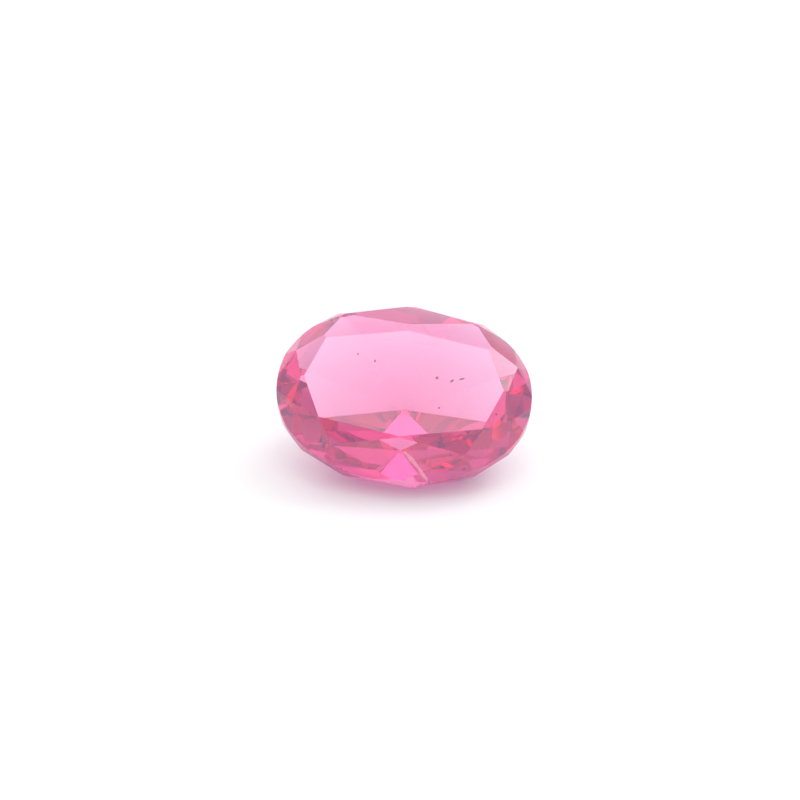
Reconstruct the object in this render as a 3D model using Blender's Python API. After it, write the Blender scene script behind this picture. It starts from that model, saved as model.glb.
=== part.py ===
# Faceted oval ruby, lying on one of its lower facets.
#
# Lengths are in metres and angles in degrees. The stone is cut in its own frame: +X along its length,
# +Y across its width, +Z out of the table, and zero height at the upper edge of the girdle. Azimuths
# are counted from +X towards +Y, and slopes from the girdle plane. The finished stone is then tipped
# onto its resting facet and placed on the ground.

from math import atan, cos, degrees, radians, sin, tan

import bmesh
import bpy
import numpy as np
from mathutils import Matrix, Vector

MM = 0.001

# Girdle: a slightly squared oval, with an upright band round the stone
LENGTH = 7.9 * MM
WIDTH = 5.82 * MM
SQUARENESS = 2.13
GIRDLE_CENTRE = (0.01 * MM, 0.06 * MM)
GIRDLE_SIDES = 96
GIRDLE_THICKNESS = 0.24 * MM

# Rough preform that the cuts are made from
PREFORM_MARGIN = 1.0 * MM
PREFORM_DEPTH = 5.0 * MM

# Crown: star facets at the ends and the sides (azimuth from the long axis, slope, reach at table height)
CROWN_HEIGHT = 0.93 * MM
END_STAR = (23, 24, 2.83 * MM)
SIDE_STAR = (80, 21, 1.74 * MM)

# Kite facets between the stars (azimuth from the long axis, slope) and where their lower tips lie
END_KITE = (0, 48)
CORNER_KITE = (46, 49)
SIDE_KITE = (90, 40)
KITE_TIP_HEIGHT = 0.04 * MM

# Upper girdle facets: how far above a kite's tip they reach the girdle, and where two of them meet on it
TIP_RISE = 0.05 * MM
MEETING_HEIGHT = 0.12 * MM

# Pavilion: steep belly facets under the girdle, and main facets that run from there to the culet
CULET_DEPTH = 3.03 * MM
BELLY_FACETS = 16
BELLY_SLOPE = 72
MAIN_FACETS = 8
RESTING_AZIMUTH = 275
RESTING_SLOPE = 36

# Ruby
RUBY_COLOR = (0.82, 0.10, 0.28, 1.0)
RUBY_ROUGHNESS = 0.03
RUBY_IOR = 1.77

WELD_DISTANCE = 0.001 * MM
HALF_SIZE = np.array([LENGTH / 2, WIDTH / 2])


def clear_scene():
    for item in list(bpy.data.objects):
        bpy.data.objects.remove(item, do_unlink=True)


def upward(azimuth, slope):
    """Outward normal of a crown facet."""
    a = radians(azimuth)
    s = radians(slope)
    return np.array([sin(s) * cos(a), sin(s) * sin(a), cos(s)])


def downward(azimuth, slope):
    """Outward normal of a pavilion facet."""
    a = radians(azimuth)
    s = radians(slope)
    return np.array([sin(s) * cos(a), sin(s) * sin(a), -cos(s)])


def girdle_point(direction, height):
    """Point of the girdle's outline that lies furthest along a direction."""
    power = SQUARENESS / (SQUARENESS - 1)
    pull = abs(direction[:2]) * HALF_SIZE
    reach = (pull**power).sum() ** (1 / power)
    x, y = GIRDLE_CENTRE + np.sign(direction[:2]) * HALF_SIZE * (pull / reach) ** (power - 1)
    return np.array([x, y, height])


def girdle_point_at(turn, height):
    """Point of the girdle's outline at a turn, an angle in radians round the stretched circle."""
    circle = np.array([np.cos(turn), np.sin(turn)])
    reach = (abs(circle) ** SQUARENESS).sum() ** (-1 / SQUARENESS)
    x, y = GIRDLE_CENTRE + HALF_SIZE * circle * reach
    return np.array([x, y, height])


def girdle_point_beside(point, height):
    """Point of the girdle's outline beside a point of the crown."""
    x, y = (point[:2] - GIRDLE_CENTRE) / HALF_SIZE
    return girdle_point_at(np.arctan2(y, x), height)


def meeting_point(*cuts):
    """Corner where three cuts meet; a cut is a point and an outward normal."""
    normals = np.array([normal for point, normal in cuts])
    distances = np.array([normal @ point for point, normal in cuts])
    return np.linalg.solve(normals, distances)


def plane_through(first, second, third):
    """Cut through three points, facing away from the stone's axis."""
    normal = np.cross(second - first, third - first)
    normal /= np.linalg.norm(normal)
    if normal @ first < 0:
        normal = -normal
    return first, normal


def round_the_crown(*facets):
    """Each facet in every quarter of the crown, in order round the stone: azimuth, then its other sizes."""
    placed = {}
    for azimuth, *sizes in facets:
        for turned in (azimuth, 180 - azimuth, 180 + azimuth, 360 - azimuth):
            placed[turned % 360] = sizes
    return [(azimuth, *placed[azimuth]) for azimuth in sorted(placed)]


def star_cuts():
    cuts = []
    for azimuth, slope, reach in round_the_crown(END_STAR, SIDE_STAR):
        a = radians(azimuth)
        point = np.array([reach * cos(a), reach * sin(a), CROWN_HEIGHT])
        cuts.append((point, upward(azimuth, slope)))
    return cuts


def kite_cuts():
    cuts = []
    for azimuth, slope in round_the_crown(END_KITE, CORNER_KITE, SIDE_KITE):
        normal = upward(azimuth, slope)
        cuts.append((girdle_point(normal, KITE_TIP_HEIGHT), normal))
    return cuts


def upper_girdle_cuts(stars, kites):
    """Two facets under each star, from its tip to the girdle on either side."""
    cuts = []
    for k, star in enumerate(stars):
        before = kites[k]
        after = kites[(k + 1) % len(kites)]
        tip = meeting_point(star, before, after)
        middle = girdle_point_beside(tip, MEETING_HEIGHT)
        for kite_tip, _ in (before, after):
            corner = kite_tip + np.array([0, 0, TIP_RISE])
            cuts.append(plane_through(tip, corner, middle))
    return cuts


def belly_cuts():
    """Facets under the girdle, side by side, with a pair of them over each main facet."""
    cuts = []
    step = 360 / BELLY_FACETS
    for k in range(BELLY_FACETS):
        normal = downward(RESTING_AZIMUTH + (k + 0.5) * step, BELLY_SLOPE)
        cuts.append((girdle_point(normal, -GIRDLE_THICKNESS), normal))
    return cuts


def girdle_reach(azimuth):
    """How far the girdle's outline reaches from the stone's axis along an azimuth."""
    normal = upward(azimuth, 90)
    return girdle_point(normal, 0) @ normal


def main_cuts():
    """Facets that meet at the culet. All would reach the girdle's outline at the resting facet's height."""
    culet = np.array([0, 0, -CULET_DEPTH])
    rise = tan(radians(RESTING_SLOPE)) * girdle_reach(RESTING_AZIMUTH)
    cuts = []
    for k in range(MAIN_FACETS):
        azimuth = RESTING_AZIMUTH + k * 360 / MAIN_FACETS
        slope = degrees(atan(rise / girdle_reach(azimuth)))
        cuts.append((culet, downward(azimuth, slope)))
    return cuts


def preform():
    """Upright oval blank with the girdle's outline, taller and deeper than the stone."""
    stone = bmesh.new()
    steps = np.linspace(0, 2 * np.pi, GIRDLE_SIDES, endpoint=False)
    rim = [stone.verts.new(girdle_point_at(turn, -PREFORM_DEPTH)) for turn in steps]
    base = stone.faces.new(rim)
    raised = bmesh.ops.extrude_face_region(stone, geom=[base])
    top = [item for item in raised["geom"] if isinstance(item, bmesh.types.BMVert)]
    bmesh.ops.translate(stone, verts=top, vec=(0, 0, PREFORM_DEPTH + CROWN_HEIGHT + PREFORM_MARGIN))
    bmesh.ops.recalc_face_normals(stone, faces=stone.faces)
    return stone


def cut(stone, point, normal):
    """Cut the stone with a plane, drop what lies outside it and close the cut with one facet."""
    everything = stone.verts[:] + stone.edges[:] + stone.faces[:]
    result = bmesh.ops.bisect_plane(
        stone,
        geom=everything,
        dist=WELD_DISTANCE / 10,
        plane_co=Vector(point),
        plane_no=Vector(normal),
        clear_outer=True,
    )
    rim = [item for item in result["geom_cut"] if isinstance(item, bmesh.types.BMEdge)]
    open_rim = [edge for edge in rim if edge.is_boundary]
    if open_rim:
        bmesh.ops.edgeloop_fill(stone, edges=open_rim)


def rest_on_ground(stone):
    """Turn the resting facet to the front, tip the stone onto it and set it down."""
    turn = Matrix.Rotation(radians(-90 - RESTING_AZIMUTH), 4, "Z")
    tip = Matrix.Rotation(radians(RESTING_SLOPE), 4, "X")
    bmesh.ops.transform(stone, matrix=tip @ turn, verts=stone.verts)
    points = np.array([vert.co[:] for vert in stone.verts])
    low = points.min(axis=0)
    high = points.max(axis=0)
    shift = Vector((-(low[0] + high[0]) / 2, -(low[1] + high[1]) / 2, -low[2]))
    bmesh.ops.translate(stone, verts=stone.verts, vec=shift)


def cut_stone():
    stars = star_cuts()
    kites = kite_cuts()
    table = (np.array([0, 0, CROWN_HEIGHT]), np.array([0, 0, 1.0]))
    cuts = [table, *stars, *kites, *upper_girdle_cuts(stars, kites), *belly_cuts(), *main_cuts()]
    stone = preform()
    for point, normal in cuts:
        cut(stone, point, normal)
    bmesh.ops.remove_doubles(stone, verts=stone.verts, dist=WELD_DISTANCE)
    bmesh.ops.recalc_face_normals(stone, faces=stone.faces)
    rest_on_ground(stone)
    return stone


def ruby_material():
    material = bpy.data.materials.new("ruby")
    material.use_nodes = True
    shader = material.node_tree.nodes["Principled BSDF"]
    shader.inputs["Base Color"].default_value = RUBY_COLOR
    shader.inputs["Roughness"].default_value = RUBY_ROUGHNESS
    shader.inputs["Metallic"].default_value = 0.0
    shader.inputs["IOR"].default_value = RUBY_IOR
    shader.inputs["Transmission Weight"].default_value = 1.0
    return material


def add_ruby():
    mesh = bpy.data.meshes.new("ruby")
    stone = cut_stone()
    stone.to_mesh(mesh)
    stone.free()
    mesh.materials.append(ruby_material())
    ruby = bpy.data.objects.new("ruby", mesh)
    bpy.context.scene.collection.objects.link(ruby)
    return ruby


clear_scene()
add_ruby()
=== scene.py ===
# Looks of a faceted oval ruby that lies on a white surface.
#
# Lengths are in metres and angles in degrees unless a name says otherwise. +X runs along the stone, +Y
# away from the camera, +Z up. The cutting frame is in millimetres from the stone's axis: X along its
# length, Y across it and Z out of the table, with zero at the girdle's upper edge. Marks inside the stone
# are given where the camera sees them, in pixels from the picture's left and top, and by how deep they
# lie on the bent line of sight.

from math import cos, pi, radians, sin, sqrt

import bmesh
import bpy
import numpy as np
from mathutils import Matrix, Vector
from mathutils.bvhtree import BVHTree


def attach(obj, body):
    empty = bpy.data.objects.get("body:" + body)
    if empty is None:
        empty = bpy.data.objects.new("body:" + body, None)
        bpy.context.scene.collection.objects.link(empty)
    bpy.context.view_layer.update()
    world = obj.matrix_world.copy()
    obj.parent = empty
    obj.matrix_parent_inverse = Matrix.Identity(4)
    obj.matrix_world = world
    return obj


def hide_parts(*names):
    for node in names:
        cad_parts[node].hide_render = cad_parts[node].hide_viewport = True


MM = 0.001

# Camera: a long lens, which keeps the facets' edges as parallel as the photograph shows them
IMAGE_SIDE = 800
PIXELS_PER_METRE = 32390
LENS = 200
SENSOR = 36
CAMERA_AZIMUTH = -0.4
CAMERA_ELEVATION = 31.2
AIM = Vector((-0.13, -0.38, 2.32)) * MM

# Light: an even white room and a few soft panels in it (azimuth, elevation, strength, focus).
# Azimuth 0 is to the right, 90 behind the stone. A higher focus is a smaller panel.
ROOM_LIGHT = 0.45
KEY_PANEL = (30, 45, 4.0, 20)
TOP_PANEL = (-90, 70, 2.0, 20)
BACK_PANEL = (120, 50, 1.0, 10)
LOW_BACK_PANEL = (90, 10, 0.7, 5)
FRONT_PANEL = (-45, 15, 1.0, 5)
LEFT_PANEL = (180, 30, 0.5, 5)
PANELS = (KEY_PANEL, TOP_PANEL, BACK_PANEL, LOW_BACK_PANEL, FRONT_PANEL, LEFT_PANEL)

# Floor: the stone touches it only here and there, so a film of air lies between them
FLOOR_SIZE = 0.6
FLOOR_GREY = 0.9
FLOOR_GLOW = 0.05
AIR_FILM = 0.02 * MM

# Ruby: what a metre of it takes from red, green and blue light
RUBY_IOR = 1.77
RUBY_ABSORPTION = (30, 395, 225)
HAZE = 0.06
HAZE_SPREAD = 0.02
# Painted light: a faint violet glow, emitted all over the stone, that lifts its dark facets as glare would
PAINTED_GLOW_COLOR = (0.1, 0.0, 1.0, 1)
PAINTED_GLOW = 0.055
GROUND_CLEAR = 0.93

# Roughness: how far the noise moves it, and its value where the noise is zero
POLISHED_ROUGHNESS = (0.04, -0.012)
GROUND_ROUGHNESS = (0.24, 0.03)

# Dust and painted sheen on the outer side: its amount, the way it grows, and the stretch in mm over which
# it does. The whitening towards the crown's far side is a painted reflection of the bright room behind the
# stone.
DUST_AND_SHEEN = 0.16
SHEEN_DIRECTION = (0.35, 0.94, 0.0)
SHEEN_START = 1.2
SHEEN_END = 2.6
DUST_AND_SHEEN_PATCHES = (1.2, 0.4)

# Noise scales, in waves per mm
CLOUD_SCALE = 1.1
DUST_AND_SHEEN_SCALE = 2.5
POLISH_SCALE = 6.0
GRIND_SCALE = 9.0

# Minerals inside: colour, roughness, grain scale and glow. The glow is painted light: an emission that
# makes the silk and the fissure look lit
DARK_MINERAL = ((0.30, 0.05, 0.10), 0.4, 30.0, 0.0)
PALE_SILK = ((0.98, 0.90, 0.98), 0.3, 15.0, 0.22)
FISSURE_FILM = ((1.0, 0.30, 0.38), 0.25, 9.0, 0.35)
GRAIN_TONE = 0.6

# Wear: rounded facet edges. Edges flatter than the wear angle stay sharp, and faces that lean less than the
# upright limit are the girdle's ground band.
EDGE_WEAR = 0.010 * MM
WEAR_ANGLE = radians(8)
WELD = 0.001 * MM
FLAT_ANGLE = radians(0.3)
UPRIGHT_LIMIT = 0.02

# The cutting frame's place: the stone is turned about its axis, then tipped on its resting facet
STONE_TURN = radians(-5)
STONE_TIP = radians(36)
STONE_CENTRE = Vector((-0.015, -0.291, 2.451)) * MM
PLACED = (
    Matrix.Translation(STONE_CENTRE)
    @ Matrix.Rotation(STONE_TIP, 4, "X")
    @ Matrix.Rotation(STONE_TURN, 4, "Z")
    @ Matrix.Scale(MM, 4)
)

# Dark crystals inside: picture place, depth, length and width in mm, and turn from level in the picture
DARK_CRYSTALS = (
    ((437, 378), 0.50, 0.11, 0.090, 15),
    ((452, 381), 0.60, 0.15, 0.070, 40),
    ((462, 379), 0.60, 0.20, 0.060, 15),
    ((375, 361), 0.70, 0.09, 0.065, 75),
    ((358, 354), 0.90, 0.08, 0.060, 0),
    ((439, 408), 0.90, 0.08, 0.065, 45),
    ((441, 438), 0.15, 0.20, 0.060, 90),
    ((324, 446), 0.25, 0.22, 0.110, 60),
    ((321, 440), 0.25, 0.18, 0.070, 80),
    ((341, 468), 0.10, 0.10, 0.050, -20),
    ((346, 471), 0.10, 0.08, 0.040, 10),
    ((429, 482), 0.10, 0.09, 0.060, 0),
)

# Clusters of silk: picture place, depth in mm, reach in mm, number of needles and their mean length in mm
SILK_CLUSTERS = (
    ((389, 367), 0.5, 0.03, 3, 0.08),
    ((455, 398), 0.7, 0.06, 2, 0.24),
    ((469, 390), 0.7, 0.09, 3, 0.22),
    ((478, 395), 0.6, 0.07, 2, 0.26),
    ((477, 408), 0.6, 0.07, 2, 0.26),
    ((395, 385), 1.3, 0.80, 9, 0.12),
)
SILK_WIDTH = 0.022
SILK_ANGLE = 82
SILK_FAN = 7
SILK_SEED = 7

# Healed fissure in the front kite facet: picture place, depth and half width in mm
FISSURE_LINE = (
    ((404, 451), 0.10, 0.020),
    ((411, 459), 0.15, 0.075),
    ((418, 467), 0.20, 0.045),
    ((424, 476), 0.20, 0.065),
    ((429, 483), 0.12, 0.020),
)
FISSURE_DEPTH = 0.10
FISSURE_THICKNESS = 0.006

# Nicks on the girdle: azimuth, slope of the nick from the girdle plane, and how deep it bites
NICKS = (
    (237, -20, 0.020),
    (239.5, -42, 0.026),
    (242, 10, 0.016),
    (291, -35, 0.030),
    (286, -60, 0.022),
    (20, 30, 0.015),
)

LIGHT_BOUNCES = 32
FLOOR_BOUNCES = 3


def direction(azimuth, elevation):
    a = radians(azimuth)
    e = radians(elevation)
    return Vector((cos(e) * cos(a), cos(e) * sin(a), sin(e)))


def link(name, mesh):
    piece = bpy.data.objects.new(name, mesh)
    bpy.context.scene.collection.objects.link(piece)
    return piece


def camera_frame():
    """The camera's place, and its right, up and backward directions."""
    away = direction(CAMERA_AZIMUTH - 90, CAMERA_ELEVATION)
    distance = LENS / SENSOR * IMAGE_SIDE / PIXELS_PER_METRE
    right = Vector((0, 0, 1)).cross(away).normalized()
    return AIM + away * distance, right, away.cross(right), away


def add_camera():
    lens = bpy.data.cameras.new("camera")
    lens.lens = LENS
    lens.sensor_width = SENSOR
    lens.clip_start = 1 * MM
    place, _, _, away = camera_frame()
    camera = bpy.data.objects.new("camera", lens)
    camera.location = place
    camera.rotation_euler = away.to_track_quat("Z", "Y").to_euler()
    bpy.context.scene.collection.objects.link(camera)
    bpy.context.scene.camera = camera


class Sight:
    """Finds places inside the stone from where the camera sees them."""

    def __init__(self, cad):
        self.surface = BVHTree.FromObject(cad, bpy.context.evaluated_depsgraph_get())
        self.inward = cad.matrix_world.inverted()
        self.outward = cad.matrix_world

    def inside(self, picture_place, depth):
        """The place at a depth in millimetres on the line of sight, as the ruby's surface bends it."""
        camera, right, up, away = camera_frame()
        pixel = SENSOR / LENS / IMAGE_SIDE
        x = (picture_place[0] - IMAGE_SIDE / 2) * pixel
        y = (IMAGE_SIDE / 2 - picture_place[1]) * pixel
        line = (right * x + up * y - away).normalized()
        start = self.inward @ camera
        hit, normal, _, _ = self.surface.ray_cast(start, (self.inward.to_3x3() @ line).normalized())
        hit = self.outward @ hit
        normal = (self.outward.to_3x3() @ normal).normalized()
        slant = -line.dot(normal)
        bent = line / RUBY_IOR + (slant / RUBY_IOR - sqrt(1 - (1 - slant**2) / RUBY_IOR**2)) * normal
        return hit + bent * depth * MM


class Nodes:
    """Short ways to add and join shader nodes."""

    def __init__(self, tree):
        self.tree = tree

    def add(self, kind, **settings):
        node = self.tree.nodes.new(kind)
        for name, value in settings.items():
            setattr(node, name, value)
        return node

    def feed(self, socket, value):
        if isinstance(value, bpy.types.NodeSocket):
            self.tree.links.new(value, socket)
        else:
            socket.default_value = value

    def math(self, operation, *values):
        node = self.add("ShaderNodeMath", operation=operation)
        for socket, value in zip(node.inputs, values):
            self.feed(socket, value)
        return node.outputs[0]


def add_light():
    world = bpy.data.worlds.new("studio")
    bpy.context.scene.world = world
    world.use_nodes = True
    nodes = Nodes(world.node_tree)
    view = nodes.add("ShaderNodeTexCoord")
    light = ROOM_LIGHT
    for azimuth, elevation, strength, focus in PANELS:
        toward = nodes.add("ShaderNodeVectorMath", operation="DOT_PRODUCT")
        nodes.feed(toward.inputs[0], view.outputs["Generated"])
        toward.inputs[1].default_value = direction(azimuth, elevation)
        falloff = nodes.math("MULTIPLY_ADD", toward.outputs["Value"], focus, -focus)
        glow = nodes.math("EXPONENT", falloff)
        light = nodes.math("MULTIPLY_ADD", glow, strength, light)
    background = world.node_tree.nodes["Background"]
    background.inputs["Color"].default_value = (1, 1, 1, 1)
    nodes.feed(background.inputs["Strength"], light)


def add_floor():
    mesh = bpy.data.meshes.new("floor")
    corners = ((-1, -1), (1, -1), (1, 1), (-1, 1))
    mesh.from_pydata([(x * FLOOR_SIZE, y * FLOOR_SIZE, -AIR_FILM) for x, y in corners], [], [(0, 1, 2, 3)])
    material = bpy.data.materials.new("white_surface")
    material.use_nodes = True
    shader = material.node_tree.nodes["Principled BSDF"]
    shader.inputs["Base Color"].default_value = (FLOOR_GREY, FLOOR_GREY, FLOOR_GREY, 1)
    shader.inputs["Roughness"].default_value = 1.0
    shader.inputs["Specular IOR Level"].default_value = 0.0
    shader.inputs["Emission Color"].default_value = (1, 1, 1, 1)
    shader.inputs["Emission Strength"].default_value = FLOOR_GLOW
    mesh.materials.append(material)
    link("floor", mesh)


def millimetre_places(nodes):
    """Places on the stone in millimetres, for textures."""
    where = nodes.add("ShaderNodeTexCoord")
    scaled = nodes.add("ShaderNodeVectorMath", operation="SCALE")
    nodes.feed(scaled.inputs[0], where.outputs["Object"])
    scaled.inputs["Scale"].default_value = 1 / MM
    return scaled.outputs[0]


def noise(nodes, places, scale, detail=3.0):
    texture = nodes.add("ShaderNodeTexNoise")
    nodes.feed(texture.inputs["Vector"], places)
    texture.inputs["Scale"].default_value = scale
    texture.inputs["Detail"].default_value = detail
    return texture.outputs["Fac"]


def ruby_body(nodes, material):
    """Absorption inside the stone, the same in each of its materials."""
    absorption = nodes.add("ShaderNodeVolumeAbsorption")
    density = max(RUBY_ABSORPTION)
    absorption.inputs["Color"].default_value = (*[1 - part / density for part in RUBY_ABSORPTION], 1)
    absorption.inputs["Density"].default_value = density
    output = material.node_tree.nodes["Material Output"]
    nodes.feed(output.inputs["Volume"], absorption.outputs["Volume"])


def dust_and_sheen(nodes, places):
    """Dust and painted sheen: a white veil that grows towards the crown's far side, in patches, painted
    there as a reflection of the bright room behind.
    """
    along = nodes.add("ShaderNodeVectorMath", operation="DOT_PRODUCT")
    nodes.feed(along.inputs[0], places)
    along.inputs[1].default_value = SHEEN_DIRECTION
    rise = nodes.add("ShaderNodeMapRange", interpolation_type="SMOOTHSTEP")
    nodes.feed(rise.inputs["Value"], along.outputs["Value"])
    rise.inputs["From Min"].default_value = SHEEN_START
    rise.inputs["From Max"].default_value = SHEEN_END
    patches = nodes.math("MULTIPLY_ADD", noise(nodes, places, DUST_AND_SHEEN_SCALE, 5.0), *DUST_AND_SHEEN_PATCHES)
    return nodes.math("MULTIPLY", rise.outputs["Result"], patches)


def polished_ruby():
    material = bpy.data.materials.new("polished_ruby")
    material.use_nodes = True
    nodes = Nodes(material.node_tree)
    shader = material.node_tree.nodes["Principled BSDF"]
    shader.inputs["Base Color"].default_value = (1, 1, 1, 1)
    shader.inputs["IOR"].default_value = RUBY_IOR
    # Painted light: the stone emits a faint violet glow
    shader.inputs["Emission Color"].default_value = PAINTED_GLOW_COLOR
    shader.inputs["Emission Strength"].default_value = PAINTED_GLOW
    places = millimetre_places(nodes)
    clouds = noise(nodes, places, CLOUD_SCALE, 4.0)
    haze = nodes.math("MULTIPLY_ADD", clouds, 2 * HAZE_SPREAD, HAZE - HAZE_SPREAD)
    # The white veil thickens towards the crown's far side: a painted reflection, in patches
    haze = nodes.math("MULTIPLY_ADD", dust_and_sheen(nodes, places), DUST_AND_SHEEN, haze)
    side = nodes.add("ShaderNodeNewGeometry")
    outside = nodes.math("SUBTRACT", 1.0, side.outputs["Backfacing"])
    clear = nodes.math("SUBTRACT", 1.0, nodes.math("MULTIPLY", haze, outside))
    nodes.feed(shader.inputs["Transmission Weight"], clear)
    wear = noise(nodes, places, POLISH_SCALE, 6.0)
    nodes.feed(shader.inputs["Roughness"], nodes.math("MULTIPLY_ADD", wear, *POLISHED_ROUGHNESS))
    ruby_body(nodes, material)
    return material


def ground_ruby():
    """The girdle's unpolished band and the nicks."""
    material = bpy.data.materials.new("ground_ruby")
    material.use_nodes = True
    nodes = Nodes(material.node_tree)
    shader = material.node_tree.nodes["Principled BSDF"]
    shader.inputs["Base Color"].default_value = (1, 1, 1, 1)
    shader.inputs["IOR"].default_value = RUBY_IOR
    shader.inputs["Transmission Weight"].default_value = GROUND_CLEAR
    # Painted light: the ground band emits the same faint violet glow
    shader.inputs["Emission Color"].default_value = PAINTED_GLOW_COLOR
    shader.inputs["Emission Strength"].default_value = PAINTED_GLOW
    places = millimetre_places(nodes)
    grain = noise(nodes, places, GRIND_SCALE, 5.0)
    nodes.feed(shader.inputs["Roughness"], nodes.math("MULTIPLY_ADD", grain, *GROUND_ROUGHNESS))
    ruby_body(nodes, material)
    return material


def mineral(name, color, roughness, grain, glow):
    """An opaque mineral inside the stone, with grains of darker tone.

    A pale one has a painted glow, an emission that stands in for the light that it catches.
    """
    material = bpy.data.materials.new(name)
    material.use_nodes = True
    nodes = Nodes(material.node_tree)
    shader = material.node_tree.nodes["Principled BSDF"]
    shader.inputs["Roughness"].default_value = roughness
    # Painted light: the emission makes a pale mineral glow as if lit
    shader.inputs["Emission Color"].default_value = (*color, 1)
    shader.inputs["Emission Strength"].default_value = glow
    tone = nodes.add("ShaderNodeMix", data_type="RGBA")
    nodes.feed(tone.inputs["Factor"], noise(nodes, millimetre_places(nodes), grain))
    tone.inputs["A"].default_value = (*[part * GRAIN_TONE for part in color], 1)
    tone.inputs["B"].default_value = (*color, 1)
    nodes.feed(shader.inputs["Base Color"], tone.outputs["Result"])
    return material


def cut_nicks(stone):
    """Small flat chips along the girdle. A plane just inside the girdle takes each one off."""
    points = [PLACED.inverted() @ vert.co for vert in stone.verts]
    for azimuth, slope, bite in NICKS:
        a = radians(azimuth)
        s = radians(slope)
        normal = Vector((cos(s) * cos(a), cos(s) * sin(a), sin(s)))
        reach = max(point @ normal for point in points)
        place = normal * (reach - bite)
        result = bmesh.ops.bisect_plane(
            stone,
            geom=stone.verts[:] + stone.edges[:] + stone.faces[:],
            plane_co=PLACED @ place,
            plane_no=PLACED.to_3x3() @ normal,
            clear_outer=True,
        )
        edges = [item for item in result["geom_cut"] if isinstance(item, bmesh.types.BMEdge)]
        rim = [edge for edge in edges if edge.is_boundary]
        if rim:
            for face in bmesh.ops.edgeloop_fill(stone, edges=rim)["faces"]:
                face.material_index = 1


def add_stone(cad):
    stone = bmesh.new()
    stone.from_mesh(cad.data)
    for face in stone.faces:
        face.material_index = 0
    bmesh.ops.remove_doubles(stone, verts=stone.verts, dist=WELD)
    bmesh.ops.dissolve_limit(stone, angle_limit=FLAT_ANGLE, verts=stone.verts, edges=stone.edges)
    bmesh.ops.recalc_face_normals(stone, faces=stone.faces)
    upright = PLACED.to_3x3().inverted()
    for face in stone.faces:
        if abs((upright @ face.normal).normalized().z) < UPRIGHT_LIMIT:
            face.material_index = 1
    cut_nicks(stone)
    worn = [edge for edge in stone.edges if edge.calc_face_angle(0) > WEAR_ANGLE]
    bmesh.ops.bevel(
        stone,
        geom=worn,
        offset=EDGE_WEAR,
        segments=2,
        profile=0.6,
        affect="EDGES",
        clamp_overlap=True,
    )
    bmesh.ops.recalc_face_normals(stone, faces=stone.faces)
    mesh = bpy.data.meshes.new("ruby_stone")
    stone.to_mesh(mesh)
    stone.free()
    mesh.shade_flat()
    mesh.materials.append(polished_ruby())
    mesh.materials.append(ground_ruby())
    piece = link("ruby_stone", mesh)
    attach(piece, "root")
    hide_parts("ruby")


def add_crystal(inclusions, place, length, width, axis, sides=6):
    """A slim crystal with a point at each end. Its length and width are in millimetres."""
    turn = axis.to_track_quat("Z", "Y").to_matrix()
    rings = []
    for height in (-0.25 * length, 0.25 * length):
        steps = [2 * pi * k / sides for k in range(sides)]
        corners = [Vector((width / 2 * cos(step), width / 2 * sin(step), height)) for step in steps]
        rings.append([inclusions.verts.new(place + turn @ corner * MM) for corner in corners])
    tips = [Vector((0, 0, -length / 2)), Vector((0, 0, length / 2))]
    tips = [inclusions.verts.new(place + turn @ tip * MM) for tip in tips]
    for k in range(sides):
        j = (k + 1) % sides
        inclusions.faces.new((rings[0][k], rings[0][j], rings[1][j], rings[1][k]))
        inclusions.faces.new((rings[0][j], rings[0][k], tips[0]))
        inclusions.faces.new((rings[1][k], rings[1][j], tips[1]))


def finish_inclusions(name, inclusions, material):
    bmesh.ops.recalc_face_normals(inclusions, faces=inclusions.faces)
    mesh = bpy.data.meshes.new(name)
    inclusions.to_mesh(mesh)
    inclusions.free()
    mesh.shade_flat()
    mesh.materials.append(material)
    piece = link(name, mesh)
    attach(piece, "root")


def add_dark_crystals(sight):
    inclusions = bmesh.new()
    _, right, up, _ = camera_frame()
    for picture_place, depth, length, width, turn in DARK_CRYSTALS:
        axis = right * cos(radians(turn)) + up * sin(radians(turn))
        add_crystal(inclusions, sight.inside(picture_place, depth), length, width, axis)
    finish_inclusions("dark_crystals", inclusions, mineral("dark_mineral", *DARK_MINERAL))


def add_silk(sight):
    """Fine needles that lie along one growth direction of the crystal."""
    inclusions = bmesh.new()
    random = np.random.default_rng(SILK_SEED)
    upright = PLACED.to_3x3()
    for picture_place, depth, reach, count, mean_length in SILK_CLUSTERS:
        for k in range(count):
            place = sight.inside(picture_place, depth) + Vector(random.uniform(-reach, reach, 3)) * MM
            angle = radians(SILK_ANGLE + random.uniform(-SILK_FAN, SILK_FAN))
            length = mean_length * random.uniform(0.6, 1.4)
            axis = (upright @ Vector((cos(angle), sin(angle), 0.05))).normalized()
            add_crystal(inclusions, place, length, SILK_WIDTH, axis, sides=3)
    finish_inclusions("silk", inclusions, mineral("pale_silk", *PALE_SILK))


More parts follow.
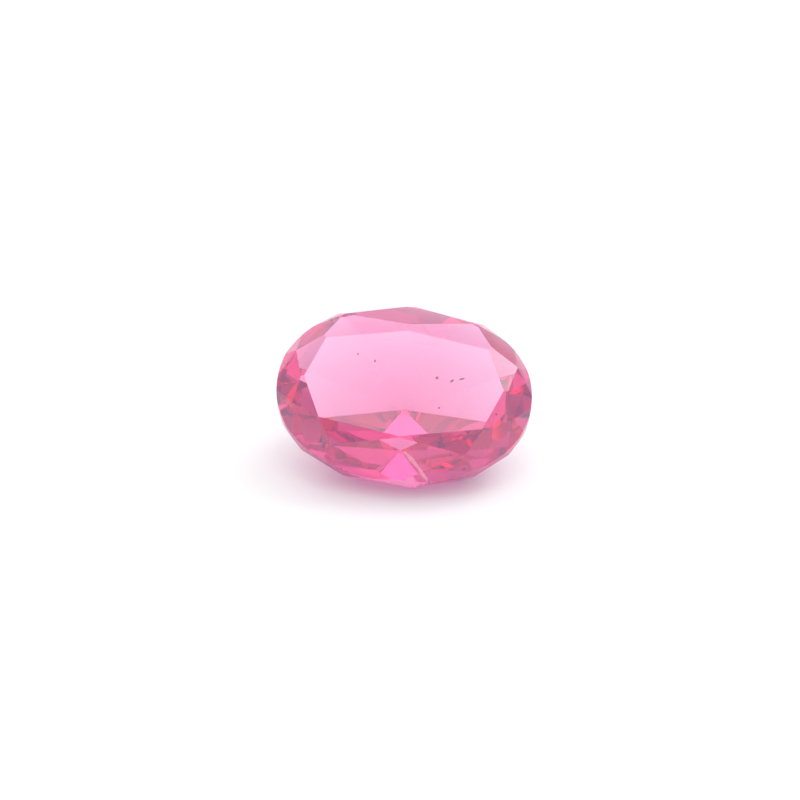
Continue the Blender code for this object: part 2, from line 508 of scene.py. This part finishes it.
def add_fissure(sight):
    """A thin healed crack that runs down the front facet, seen nearly edge on."""
    inclusions = bmesh.new()
    inward = -camera_frame()[3]
    places = [sight.inside(picture_place, depth) for picture_place, depth, _ in FISSURE_LINE]
    widest = max(half for _, _, half in FISSURE_LINE)
    rows = []
    for k, (_, _, half) in enumerate(FISSURE_LINE):
        before = places[max(k - 1, 0)]
        after = places[min(k + 1, len(places) - 1)]
        across = (after - before).cross(inward).normalized() * half * MM
        depth = inward * FISSURE_DEPTH * (0.5 + half / widest) * MM
        thickness = inward * FISSURE_THICKNESS * MM
        corners = (places[k] - across, places[k] + across * 0.8, places[k] + depth * 0.5 + across)
        row = [inclusions.verts.new(corner) for corner in corners]
        row += [inclusions.verts.new(corner + thickness) for corner in reversed(corners)]
        rows.append(row)
    for first, second in zip(rows, rows[1:]):
        for k in range(len(first)):
            j = (k + 1) % len(first)
            inclusions.faces.new((first[k], first[j], second[j], second[k]))
    inclusions.faces.new(rows[0][::-1])
    inclusions.faces.new(rows[-1])
    finish_inclusions("healed_fissure", inclusions, mineral("fissure_film", *FISSURE_FILM))


def set_look():
    scene = bpy.context.scene
    scene.view_settings.view_transform = "Standard"
    scene.cycles.max_bounces = LIGHT_BOUNCES
    scene.cycles.transmission_bounces = LIGHT_BOUNCES
    scene.cycles.glossy_bounces = LIGHT_BOUNCES
    scene.cycles.diffuse_bounces = FLOOR_BOUNCES


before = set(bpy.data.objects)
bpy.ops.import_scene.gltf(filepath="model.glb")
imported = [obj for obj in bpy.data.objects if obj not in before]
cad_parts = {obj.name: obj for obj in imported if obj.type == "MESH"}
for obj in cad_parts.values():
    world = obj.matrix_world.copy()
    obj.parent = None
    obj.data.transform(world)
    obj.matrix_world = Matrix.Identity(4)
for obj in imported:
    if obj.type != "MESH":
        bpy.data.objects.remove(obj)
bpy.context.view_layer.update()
add_camera()
add_light()
add_floor()
sight = Sight(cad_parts["ruby"])
add_stone(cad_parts["ruby"])
add_dark_crystals(sight)
add_silk(sight)
add_fissure(sight)
set_look()
